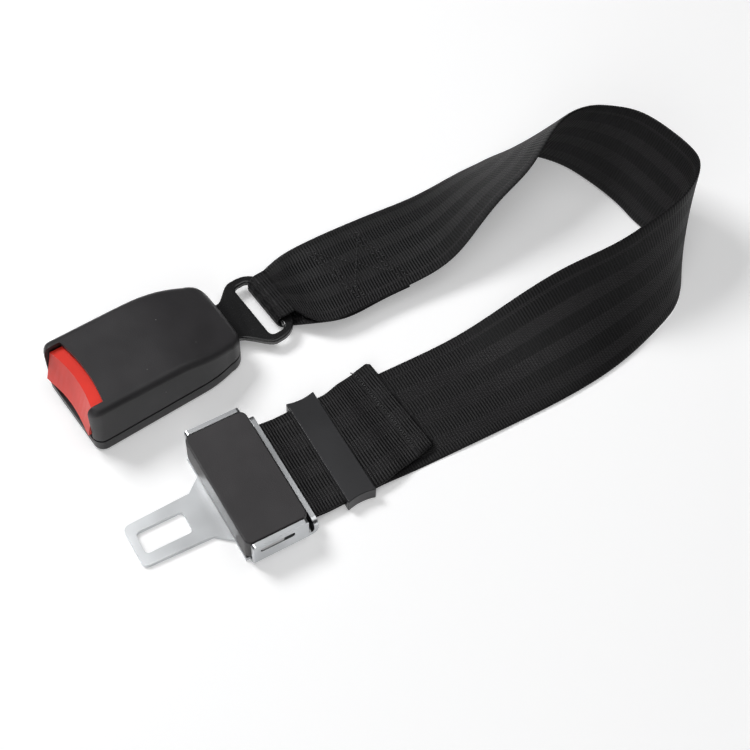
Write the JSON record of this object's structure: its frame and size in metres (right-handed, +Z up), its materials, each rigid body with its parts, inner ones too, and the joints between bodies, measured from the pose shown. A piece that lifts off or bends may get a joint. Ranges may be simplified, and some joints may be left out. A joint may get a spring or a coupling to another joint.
{
  "type": "seat belt extender",
  "caption": "Short strap that lengthens a seat belt: a buckle with a push button at one end, a metal tongue with a length adjuster at the other, joined by a loop of flat webbing.",
  "frame": {"origin": "middle of the underside of the tongue frame's base plate, on the surface that the extender lies on", "axes": "+X from the tongue along the strap, +Y towards the buckle's side, +Z up"},
  "size_m": [0.2848, 0.1318, 0.0473],
  "materials": {
    "webbing": "black woven polyester",
    "tongue_frame": "bright zinc plate",
    "adjuster_cover": "fine matt grain",
    "lock_bar": "bare steel",
    "keeper": "smooth satin",
    "upper_housing": "fine matt grain",
    "lower_housing": "fine matt grain",
    "release_button": "satin red",
    "buckle_frame": "bare steel",
    "anchor_plate": "black coat",
    "anchor_rivet_front": "bare steel",
    "anchor_rivet_rear": "bare steel",
    "latch_plate": "bare steel",
    "latch_pin": "bare steel",
    "latch_spring": "spring wire",
    "lock_pin": "bare steel",
    "ejector": "moulded",
    "ejector_spring": "spring wire",
    "button_spring_left": "spring wire",
    "button_spring_right": "spring wire"
  },
  "bodies": {
    "strap": {"webbing": "webbing", "tongue_frame": "tongue_frame", "adjuster_cover": "adjuster_cover"},
    "bar": {"lock_bar": "lock_bar"},
    "slider": {"keeper": "keeper"},
    "buckle": {"upper_housing": "upper_housing", "lower_housing": "lower_housing", "buckle_frame": "buckle_frame", "anchor_plate": "anchor_plate", "anchor_rivet_front": "anchor_rivet_front", "anchor_rivet_rear": "anchor_rivet_rear", "latch_pin": "latch_pin", "latch_spring": "latch_spring", "ejector_spring": "ejector_spring", "button_spring_left": "button_spring_left", "button_spring_right": "button_spring_right"},
    "button": {"release_button": "release_button", "lock_pin": "lock_pin"},
    "ejector": {"ejector": "ejector"},
    "latch": {"latch_plate": "latch_plate"}
  },
  "joints": [
    {"name": "bar_slide", "type": "slide", "parent": "strap", "child": "bar", "axis": [1, 0, 0], "range_m": [0, 0.004]},
    {"name": "keeper_slide", "type": "slide", "parent": "strap", "child": "slider", "axis": [1, 0, 0], "range_m": [-0.008, 0.004]},
    {"name": "buckle_pivot", "type": "hinge", "parent": "strap", "child": "buckle", "pos_m": [0.05173, 0.0764, 0.0055], "axis": [-0.1016, 0.9948, 0], "range_deg": [0, 110]},
    {"name": "button_slide", "type": "slide", "parent": "buckle", "child": "button", "axis": [0.9948, 0.1016, 0], "range_m": [0, 0.005], "stiffness_N_per_m": 1500, "springref_m": -0.003, "deforming": ["button_spring_left", "button_spring_right"]},
    {"name": "latch_hinge", "type": "hinge", "parent": "buckle", "child": "latch", "pos_m": [0.00299, 0.07142, 0.015], "axis": [-0.1016, 0.9948, 0], "range_deg": [-10, 0], "deforming": ["latch_spring"]},
    {"name": "ejector_slide", "type": "slide", "parent": "buckle", "child": "ejector", "axis": [0.9948, 0.1016, 0], "range_m": [0, 0.012], "stiffness_N_per_m": 300, "springref_m": -0.006, "deforming": ["ejector_spring"]}
  ],
  "couplings": [
    {"joint": "latch_hinge", "follows": "ejector_slide", "rad_per_m": -14.54}
  ]
}
